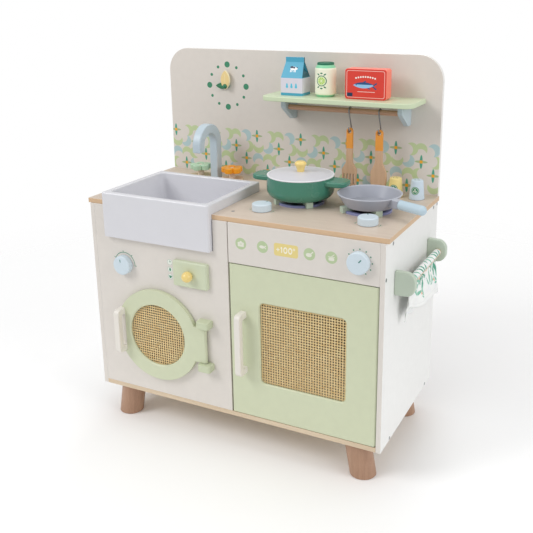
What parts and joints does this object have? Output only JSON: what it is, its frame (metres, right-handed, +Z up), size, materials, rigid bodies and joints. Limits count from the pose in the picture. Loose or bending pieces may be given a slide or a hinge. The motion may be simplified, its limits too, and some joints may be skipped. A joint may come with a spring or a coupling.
{
  "type": "toy kitchen",
  "caption": "Wooden play kitchen with a sink, hob, oven and round-door washing machine, a shelf with a clock beside it, a towel rail and loose cookware.",
  "frame": {"origin": "middle of the footprint, on the floor", "axes": "+Z up, +Y towards the back panel, +X towards the oven side; the front faces -Y"},
  "size_m": [0.6318, 0.3264, 0.712],
  "materials": {
    "worktop_laminate": "printed light oak grain, satin",
    "side_white": "painted board, satin",
    "raw_edge_wood": "pale wood, matt",
    "inner_board": "pale board, matt",
    "front_beige": "painted board, satin",
    "splash_print": "painted and printed board, satin",
    "milk_print": "painted and printed wood",
    "can_print": "painted and printed wood",
    "tin_print": "painted and printed wood",
    "leg_beech": "turned beech, satin",
    "screw_steel": "steel screws and a green cap",
    "sink_white": "white moulded plastic",
    "tap_blue": "painted board, satin",
    "disc_wood": "pale wood, matt",
    "flower_mint": "painted wood, satin",
    "stem_wood": "pale wood",
    "flower_orange": "painted wood, satin",
    "knob_blue": "painted wood, satin",
    "door_green": "painted board, satin",
    "cane_webbing": "woven cane sheet",
    "handle_cream": "painted wood, satin",
    "pin_steel": "dark steel",
    "magnet_catch": "plastic catch",
    "drawer_green": "painted wood, satin",
    "ball_yellow": "painted wood, satin",
    "burner_slate": "painted ring with a dark middle",
    "pad_mint": "pale painted blocks",
    "pot_green": "painted wood, satin",
    "lid_white": "painted wood, satin",
    "lid_knob_yellow": "painted wood, satin",
    "pan_grey": "painted wood, satin",
    "grip_blue": "painted wood, satin",
    "shaker_yellow": "painted wood, satin",
    "shaker_blue": "painted wood, satin",
    "hand_green": "painted wood, satin",
    "hand_yellow": "painted wood, satin",
    "shelf_green": "painted board, satin",
    "bracket_blue": "painted board, satin",
    "rail_wood": "natural dowel",
    "hook_steel": "bent steel wire",
    "utensil_wood": "beech with a painted end",
    "towel_bracket_green": "painted wood, satin",
    "bar_wood": "natural dowel",
    "towel_cotton": "printed cotton"
  },
  "bodies": {
    "cabinet": {"worktop": "worktop_laminate", "left_side_panel": "side_white", "right_side_panel": "side_white", "bottom_panel": "raw_edge_wood", "divider_panel": "inner_board", "washer_front_panel": "front_beige", "control_panel": "front_beige", "cabinet_back_panel": "inner_board", "backsplash_panel": "splash_print", "battens": "inner_board", "legs": "leg_beech", "screws": "screw_steel", "sink_basin": "sink_white", "tap": "tap_blue", "tap_discs": "disc_wood", "washer_hinge_blocks": "door_green", "hinge_pins": "pin_steel", "door_magnets": "magnet_catch", "drawer_housing": "inner_board", "burner_plates": "burner_slate", "burner_pads": "pad_mint", "shelf_board": "shelf_green", "shelf_brackets": "bracket_blue", "shelf_rail": "rail_wood", "towel_brackets": "towel_bracket_green", "towel_bar": "bar_wood", "towel": "towel_cotton"},
    "oven_door": {"oven_door_panel": "door_green", "oven_door_cane": "cane_webbing", "oven_door_handle": "handle_cream"},
    "washer_door": {"washer_door_panel": "door_green", "washer_door_cane": "cane_webbing", "washer_door_handle": "handle_cream"},
    "drawer": {"drawer_front": "drawer_green", "drawer_box": "inner_board", "drawer_knob": "ball_yellow"},
    "washer_dial": {"washer_knob": "knob_blue"},
    "oven_dial": {"oven_knob": "knob_blue"},
    "left_hob_dial": {"left_hob_knob": "knob_blue"},
    "right_hob_dial": {"right_hob_knob": "knob_blue"},
    "left_flower": {"left_tap_handle": "flower_mint", "left_tap_stem": "stem_wood"},
    "right_flower": {"right_tap_handle": "flower_orange", "right_tap_stem": "stem_wood"},
    "long_hand": {"clock_long_hand": "hand_yellow"},
    "short_hand": {"clock_short_hand": "hand_green"},
    "pot_body": {"pot": "pot_green"},
    "lid": {"pot_lid": "lid_white", "lid_knob": "lid_knob_yellow"},
    "pan_body": {"pan": "pan_grey", "pan_handle": "grip_blue"},
    "salt": {"salt_shaker": "shaker_yellow"},
    "pepper": {"pepper_shaker": "shaker_blue"},
    "milk": {"milk_carton": "milk_print"},
    "can": {"drink_can": "can_print"},
    "tin": {"fish_tin": "tin_print"},
    "hook_a": {"spatula_hook": "hook_steel"},
    "hook_b": {"spoon_hook": "hook_steel"},
    "turner": {"spatula": "utensil_wood"},
    "ladle": {"spoon": "utensil_wood"}
  },
  "joints": [
    {"name": "oven_door_swing", "type": "hinge", "parent": "cabinet", "child": "oven_door", "pos_m": [0.26407, -0.12775, 0.222], "axis": [0, 0, 1], "range_deg": [0, 95]},
    {"name": "washer_door_swing", "type": "hinge", "parent": "cabinet", "child": "washer_door", "pos_m": [-0.06243, -0.13775, 0.2005], "axis": [0, 0, 1], "range_deg": [0, 110]},
    {"name": "drawer_slide", "type": "slide", "parent": "cabinet", "child": "drawer", "axis": [0, -1, 0], "range_m": [0, 0.042]},
    {"name": "washer_knob_turn", "type": "hinge", "parent": "cabinet", "child": "washer_dial", "pos_m": [-0.23793, -0.13225, 0.331], "axis": [0, -1, 0], "continuous": true},
    {"name": "oven_knob_turn", "type": "hinge", "parent": "cabinet", "child": "oven_dial", "pos_m": [0.23507, -0.13225, 0.407], "axis": [0, -1, 0], "continuous": true},
    {"name": "left_hob_knob_turn", "type": "hinge", "parent": "cabinet", "child": "left_hob_dial", "pos_m": [0.02582, -0.07125, 0.452], "axis": [0, 0, 1], "continuous": true},
    {"name": "right_hob_knob_turn", "type": "hinge", "parent": "cabinet", "child": "right_hob_dial", "pos_m": [0.22532, -0.07125, 0.452], "axis": [0, 0, 1], "continuous": true},
    {"name": "left_tap_turn", "type": "hinge", "parent": "cabinet", "child": "left_flower", "pos_m": [-0.21543, 0.10875, 0.452], "axis": [0, 0, 1], "continuous": true},
    {"name": "right_tap_turn", "type": "hinge", "parent": "cabinet", "child": "right_flower", "pos_m": [-0.13943, 0.10875, 0.452], "axis": [0, 0, 1], "continuous": true},
    {"name": "long_hand_turn", "type": "hinge", "parent": "cabinet", "child": "long_hand", "pos_m": [-0.17093, 0.15425, 0.6375], "axis": [0, 1, 0], "continuous": true},
    {"name": "short_hand_turn", "type": "hinge", "parent": "cabinet", "child": "short_hand", "pos_m": [-0.17093, 0.15425, 0.6375], "axis": [0, 1, 0], "continuous": true},
    {"name": "pot_lift", "type": "slide", "parent": "cabinet", "child": "pot_body", "axis": [0, 0, 1], "range_m": [0, 0.06]},
    {"name": "lid_lift", "type": "slide", "parent": "pot_body", "child": "lid", "axis": [0, 0, 1], "range_m": [0, 0.1]},
    {"name": "pan_lift", "type": "slide", "parent": "cabinet", "child": "pan_body", "axis": [0.9724, 0, 0.2334], "range_m": [0, 0.11]},
    {"name": "salt_lift", "type": "slide", "parent": "cabinet", "child": "salt", "axis": [0, 0, 1], "range_m": [0, 0.08]},
    {"name": "pepper_lift", "type": "slide", "parent": "cabinet", "child": "pepper", "axis": [0, 0, 1], "range_m": [0, 0.08]},
    {"name": "milk_lift", "type": "slide", "parent": "cabinet", "child": "milk", "axis": [0, 0, 1], "range_m": [0, 0.08]},
    {"name": "can_lift", "type": "slide", "parent": "cabinet", "child": "can", "axis": [0, 0, 1], "range_m": [0, 0.08]},
    {"name": "tin_lift", "type": "slide", "parent": "cabinet", "child": "tin", "axis": [0, 0, 1], "range_m": [0, 0.08]},
    {"name": "spatula_hook_swing", "type": "hinge", "parent": "cabinet", "child": "hook_a", "pos_m": [0.11657, 0.11675, 0.6085], "axis": [-1, 0, 0], "range_deg": [-8, 12]},
    {"name": "spoon_hook_swing", "type": "hinge", "parent": "cabinet", "child": "hook_b", "pos_m": [0.17557, 0.11675, 0.6085], "axis": [-1, 0, 0], "range_deg": [-8, 12]},
    {"name": "spatula_swing", "type": "hinge", "parent": "hook_a", "child": "turner", "pos_m": [0.11657, 0.11675, 0.56942], "axis": [-1, 0, 0], "range_deg": [-6, 12]},
    {"name": "spoon_swing", "type": "hinge", "parent": "hook_b", "child": "ladle", "pos_m": [0.17557, 0.11675, 0.56942], "axis": [-1, 0, 0], "range_deg": [-6, 12]}
  ]
}
